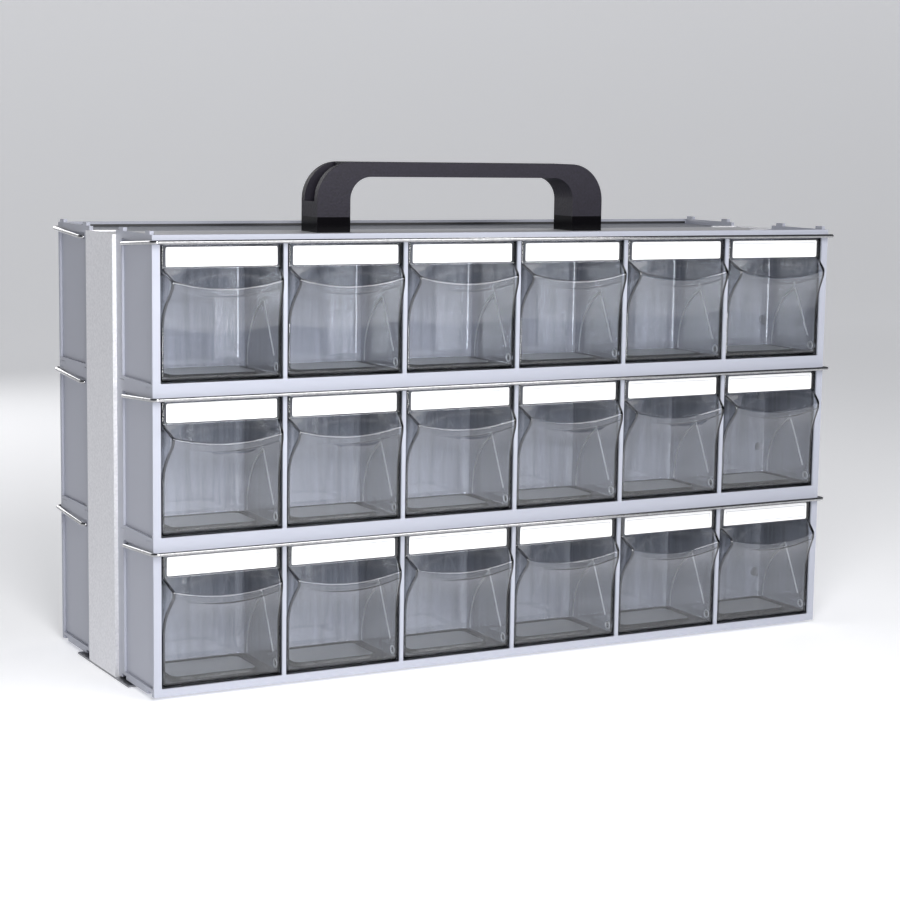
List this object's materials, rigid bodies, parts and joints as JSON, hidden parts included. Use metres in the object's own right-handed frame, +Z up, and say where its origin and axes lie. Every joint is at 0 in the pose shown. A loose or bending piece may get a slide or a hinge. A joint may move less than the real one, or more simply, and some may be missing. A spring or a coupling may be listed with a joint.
{
  "type": "parts bin cabinet",
  "caption": "Portable double-sided rack of clear tilt-out bins in grey housings on an aluminium frame, with wire retaining bails and a carrying handle.",
  "frame": {"origin": "middle of the footprint, on the surface that the foot plates stand on", "axes": "+X along the rows of bins, +Z up; the front rows face -Y and the rear rows face +Y"},
  "size_m": [0.6066, 0.234, 0.39],
  "materials": {
    "housing_abs": "moulded ABS, satin light blue-grey",
    "clear_polystyrene": "crystal-clear moulded polystyrene, with a white card in the label panel",
    "label_card": "coated white card with a printed hairline border",
    "bail_wire": "bright drawn steel wire",
    "frame_aluminium": "matt anodised aluminium",
    "foot_sheet": "galvanised sheet steel",
    "rivet_aluminium": "plain",
    "zinc_screws": "zinc plated",
    "black_screws": "black oxide",
    "handle_nylon": "moulded glass-filled nylon, fine grain"
  },
  "bodies": {
    "frame": {"frame_column_left": "frame_aluminium", "frame_column_right": "frame_aluminium", "frame_top_rail": "frame_aluminium", "frame_bottom_rail": "frame_aluminium", "foot_plate_left": "foot_sheet", "foot_plate_right": "foot_sheet", "frame_rivets": "rivet_aluminium", "housing_screws": "zinc_screws", "handle": "handle_nylon", "handle_screws": "black_screws", "handle_nuts": "zinc_screws", "housing_front_lower": "housing_abs", "housing_front_middle": "housing_abs", "housing_front_upper": "housing_abs", "housing_rear_lower": "housing_abs", "housing_rear_middle": "housing_abs", "housing_rear_upper": "housing_abs"},
    "bin_front_lower_1": {"bin_front_lower_1": "clear_polystyrene"},
    "bin_front_lower_2": {"bin_front_lower_2": "clear_polystyrene"},
    "bin_front_lower_3": {"bin_front_lower_3": "clear_polystyrene"},
    "bin_front_lower_4": {"bin_front_lower_4": "clear_polystyrene"},
    "bin_front_lower_5": {"bin_front_lower_5": "clear_polystyrene"},
    "bin_front_lower_6": {"bin_front_lower_6": "clear_polystyrene"},
    "bail_front_lower": {"bail_front_lower": "bail_wire"},
    "bin_front_middle_1": {"bin_front_middle_1": "clear_polystyrene"},
    "bin_front_middle_2": {"bin_front_middle_2": "clear_polystyrene"},
    "bin_front_middle_3": {"bin_front_middle_3": "clear_polystyrene"},
    "bin_front_middle_4": {"bin_front_middle_4": "clear_polystyrene"},
    "bin_front_middle_5": {"bin_front_middle_5": "clear_polystyrene"},
    "bin_front_middle_6": {"bin_front_middle_6": "clear_polystyrene"},
    "bail_front_middle": {"bail_front_middle": "bail_wire"},
    "bin_front_upper_1": {"bin_front_upper_1": "clear_polystyrene"},
    "bin_front_upper_2": {"bin_front_upper_2": "clear_polystyrene"},
    "bin_front_upper_3": {"bin_front_upper_3": "clear_polystyrene"},
    "bin_front_upper_4": {"bin_front_upper_4": "clear_polystyrene"},
    "bin_front_upper_5": {"bin_front_upper_5": "clear_polystyrene"},
    "bin_front_upper_6": {"bin_front_upper_6": "clear_polystyrene"},
    "bail_front_upper": {"bail_front_upper": "bail_wire"},
    "bin_rear_lower_1": {"bin_rear_lower_1": "clear_polystyrene"},
    "bin_rear_lower_2": {"bin_rear_lower_2": "clear_polystyrene"},
    "bin_rear_lower_3": {"bin_rear_lower_3": "clear_polystyrene"},
    "bin_rear_lower_4": {"bin_rear_lower_4": "clear_polystyrene"},
    "bin_rear_lower_5": {"bin_rear_lower_5": "clear_polystyrene"},
    "bin_rear_lower_6": {"bin_rear_lower_6": "clear_polystyrene"},
    "bail_rear_lower": {"bail_rear_lower": "bail_wire"},
    "bin_rear_middle_1": {"bin_rear_middle_1": "clear_polystyrene"},
    "bin_rear_middle_2": {"bin_rear_middle_2": "clear_polystyrene"},
    "bin_rear_middle_3": {"bin_rear_middle_3": "clear_polystyrene"},
    "bin_rear_middle_4": {"bin_rear_middle_4": "clear_polystyrene"},
    "bin_rear_middle_5": {"bin_rear_middle_5": "clear_polystyrene"},
    "bin_rear_middle_6": {"bin_rear_middle_6": "clear_polystyrene"},
    "bail_rear_middle": {"bail_rear_middle": "bail_wire"},
    "bin_rear_upper_1": {"bin_rear_upper_1": "clear_polystyrene"},
    "bin_rear_upper_2": {"bin_rear_upper_2": "clear_polystyrene"},
    "bin_rear_upper_3": {"bin_rear_upper_3": "clear_polystyrene"},
    "bin_rear_upper_4": {"bin_rear_upper_4": "clear_polystyrene"},
    "bin_rear_upper_5": {"bin_rear_upper_5": "clear_polystyrene"},
    "bin_rear_upper_6": {"bin_rear_upper_6": "clear_polystyrene"},
    "bail_rear_upper": {"bail_rear_upper": "bail_wire"}
  },
  "joints": [
    {"name": "bin_front_lower_1_tilt", "type": "hinge", "parent": "frame", "child": "bin_front_lower_1", "pos_m": [-0.24629, -0.097, 0.017], "axis": [1, 0, 0], "range_deg": [0, 42]},
    {"name": "bin_front_lower_2_tilt", "type": "hinge", "parent": "frame", "child": "bin_front_lower_2", "pos_m": [-0.14777, -0.097, 0.017], "axis": [1, 0, 0], "range_deg": [0, 42]},
    {"name": "bin_front_lower_3_tilt", "type": "hinge", "parent": "frame", "child": "bin_front_lower_3", "pos_m": [-0.04926, -0.097, 0.017], "axis": [1, 0, 0], "range_deg": [0, 42]},
    {"name": "bin_front_lower_4_tilt", "type": "hinge", "parent": "frame", "child": "bin_front_lower_4", "pos_m": [0.04926, -0.097, 0.017], "axis": [1, 0, 0], "range_deg": [0, 42]},
    {"name": "bin_front_lower_5_tilt", "type": "hinge", "parent": "frame", "child": "bin_front_lower_5", "pos_m": [0.14777, -0.097, 0.017], "axis": [1, 0, 0], "range_deg": [0, 42]},
    {"name": "bin_front_lower_6_tilt", "type": "hinge", "parent": "frame", "child": "bin_front_lower_6", "pos_m": [0.24629, -0.097, 0.017], "axis": [1, 0, 0], "range_deg": [0, 42]},
    {"name": "bail_front_lower_lift", "type": "hinge", "parent": "frame", "child": "bail_front_lower", "pos_m": [0, -0.0455, 0.106], "axis": [-1, 0, 0], "range_deg": [-15.5, 10.5]},
    {"name": "bin_front_middle_1_tilt", "type": "hinge", "parent": "frame", "child": "bin_front_middle_1", "pos_m": [-0.24629, -0.097, 0.129], "axis": [1, 0, 0], "range_deg": [0, 42]},
    {"name": "bin_front_middle_2_tilt", "type": "hinge", "parent": "frame", "child": "bin_front_middle_2", "pos_m": [-0.14777, -0.097, 0.129], "axis": [1, 0, 0], "range_deg": [0, 42]},
    {"name": "bin_front_middle_3_tilt", "type": "hinge", "parent": "frame", "child": "bin_front_middle_3", "pos_m": [-0.04926, -0.097, 0.129], "axis": [1, 0, 0], "range_deg": [0, 42]},
    {"name": "bin_front_middle_4_tilt", "type": "hinge", "parent": "frame", "child": "bin_front_middle_4", "pos_m": [0.04926, -0.097, 0.129], "axis": [1, 0, 0], "range_deg": [0, 42]},
    {"name": "bin_front_middle_5_tilt", "type": "hinge", "parent": "frame", "child": "bin_front_middle_5", "pos_m": [0.14777, -0.097, 0.129], "axis": [1, 0, 0], "range_deg": [0, 42]},
    {"name": "bin_front_middle_6_tilt", "type": "hinge", "parent": "frame", "child": "bin_front_middle_6", "pos_m": [0.24629, -0.097, 0.129], "axis": [1, 0, 0], "range_deg": [0, 42]},
    {"name": "bail_front_middle_lift", "type": "hinge", "parent": "frame", "child": "bail_front_middle", "pos_m": [0, -0.0455, 0.218], "axis": [-1, 0, 0], "range_deg": [-15.5, 10.5]},
    {"name": "bin_front_upper_1_tilt", "type": "hinge", "parent": "frame", "child": "bin_front_upper_1", "pos_m": [-0.24629, -0.097, 0.241], "axis": [1, 0, 0], "range_deg": [0, 42]},
    {"name": "bin_front_upper_2_tilt", "type": "hinge", "parent": "frame", "child": "bin_front_upper_2", "pos_m": [-0.14777, -0.097, 0.241], "axis": [1, 0, 0], "range_deg": [0, 42]},
    {"name": "bin_front_upper_3_tilt", "type": "hinge", "parent": "frame", "child": "bin_front_upper_3", "pos_m": [-0.04926, -0.097, 0.241], "axis": [1, 0, 0], "range_deg": [0, 42]},
    {"name": "bin_front_upper_4_tilt", "type": "hinge", "parent": "frame", "child": "bin_front_upper_4", "pos_m": [0.04926, -0.097, 0.241], "axis": [1, 0, 0], "range_deg": [0, 42]},
    {"name": "bin_front_upper_5_tilt", "type": "hinge", "parent": "frame", "child": "bin_front_upper_5", "pos_m": [0.14777, -0.097, 0.241], "axis": [1, 0, 0], "range_deg": [0, 42]},
    {"name": "bin_front_upper_6_tilt", "type": "hinge", "parent": "frame", "child": "bin_front_upper_6", "pos_m": [0.24629, -0.097, 0.241], "axis": [1, 0, 0], "range_deg": [0, 42]},
    {"name": "bail_front_upper_lift", "type": "hinge", "parent": "frame", "child": "bail_front_upper", "pos_m": [0, -0.0455, 0.33], "axis": [-1, 0, 0], "range_deg": [-15.5, 108.5]},
    {"name": "bin_rear_lower_1_tilt", "type": "hinge", "parent": "frame", "child": "bin_rear_lower_1", "pos_m": [0.24629, 0.097, 0.017], "axis": [-1, 0, 0], "range_deg": [0, 42]},
    {"name": "bin_rear_lower_2_tilt", "type": "hinge", "parent": "frame", "child": "bin_rear_lower_2", "pos_m": [0.14777, 0.097, 0.017], "axis": [-1, 0, 0], "range_deg": [0, 42]},
    {"name": "bin_rear_lower_3_tilt", "type": "hinge", "parent": "frame", "child": "bin_rear_lower_3", "pos_m": [0.04926, 0.097, 0.017], "axis": [-1, 0, 0], "range_deg": [0, 42]},
    {"name": "bin_rear_lower_4_tilt", "type": "hinge", "parent": "frame", "child": "bin_rear_lower_4", "pos_m": [-0.04926, 0.097, 0.017], "axis": [-1, 0, 0], "range_deg": [0, 42]},
    {"name": "bin_rear_lower_5_tilt", "type": "hinge", "parent": "frame", "child": "bin_rear_lower_5", "pos_m": [-0.14777, 0.097, 0.017], "axis": [-1, 0, 0], "range_deg": [0, 42]},
    {"name": "bin_rear_lower_6_tilt", "type": "hinge", "parent": "frame", "child": "bin_rear_lower_6", "pos_m": [-0.24629, 0.097, 0.017], "axis": [-1, 0, 0], "range_deg": [0, 42]},
    {"name": "bail_rear_lower_lift", "type": "hinge", "parent": "frame", "child": "bail_rear_lower", "pos_m": [0, 0.0455, 0.106], "axis": [1, 0, 0], "range_deg": [-15.5, 10.5]},
    {"name": "bin_rear_middle_1_tilt", "type": "hinge", "parent": "frame", "child": "bin_rear_middle_1", "pos_m": [0.24629, 0.097, 0.129], "axis": [-1, 0, 0], "range_deg": [0, 42]},
    {"name": "bin_rear_middle_2_tilt", "type": "hinge", "parent": "frame", "child": "bin_rear_middle_2", "pos_m": [0.14777, 0.097, 0.129], "axis": [-1, 0, 0], "range_deg": [0, 42]},
    {"name": "bin_rear_middle_3_tilt", "type": "hinge", "parent": "frame", "child": "bin_rear_middle_3", "pos_m": [0.04926, 0.097, 0.129], "axis": [-1, 0, 0], "range_deg": [0, 42]},
    {"name": "bin_rear_middle_4_tilt", "type": "hinge", "parent": "frame", "child": "bin_rear_middle_4", "pos_m": [-0.04926, 0.097, 0.129], "axis": [-1, 0, 0], "range_deg": [0, 42]},
    {"name": "bin_rear_middle_5_tilt", "type": "hinge", "parent": "frame", "child": "bin_rear_middle_5", "pos_m": [-0.14777, 0.097, 0.129], "axis": [-1, 0, 0], "range_deg": [0, 42]},
    {"name": "bin_rear_middle_6_tilt", "type": "hinge", "parent": "frame", "child": "bin_rear_middle_6", "pos_m": [-0.24629, 0.097, 0.129], "axis": [-1, 0, 0], "range_deg": [0, 42]},
    {"name": "bail_rear_middle_lift", "type": "hinge", "parent": "frame", "child": "bail_rear_middle", "pos_m": [0, 0.0455, 0.218], "axis": [1, 0, 0], "range_deg": [-15.5, 10.5]},
    {"name": "bin_rear_upper_1_tilt", "type": "hinge", "parent": "frame", "child": "bin_rear_upper_1", "pos_m": [0.24629, 0.097, 0.241], "axis": [-1, 0, 0], "range_deg": [0, 42]},
    {"name": "bin_rear_upper_2_tilt", "type": "hinge", "parent": "frame", "child": "bin_rear_upper_2", "pos_m": [0.14777, 0.097, 0.241], "axis": [-1, 0, 0], "range_deg": [0, 42]},
    {"name": "bin_rear_upper_3_tilt", "type": "hinge", "parent": "frame", "child": "bin_rear_upper_3", "pos_m": [0.04926, 0.097, 0.241], "axis": [-1, 0, 0], "range_deg": [0, 42]},
    {"name": "bin_rear_upper_4_tilt", "type": "hinge", "parent": "frame", "child": "bin_rear_upper_4", "pos_m": [-0.04926, 0.097, 0.241], "axis": [-1, 0, 0], "range_deg": [0, 42]},
    {"name": "bin_rear_upper_5_tilt", "type": "hinge", "parent": "frame", "child": "bin_rear_upper_5", "pos_m": [-0.14777, 0.097, 0.241], "axis": [-1, 0, 0], "range_deg": [0, 42]},
    {"name": "bin_rear_upper_6_tilt", "type": "hinge", "parent": "frame", "child": "bin_rear_upper_6", "pos_m": [-0.24629, 0.097, 0.241], "axis": [-1, 0, 0], "range_deg": [0, 42]},
    {"name": "bail_rear_upper_lift", "type": "hinge", "parent": "frame", "child": "bail_rear_upper", "pos_m": [0, 0.0455, 0.33], "axis": [1, 0, 0], "range_deg": [-15.5, 108.5]}
  ]
}
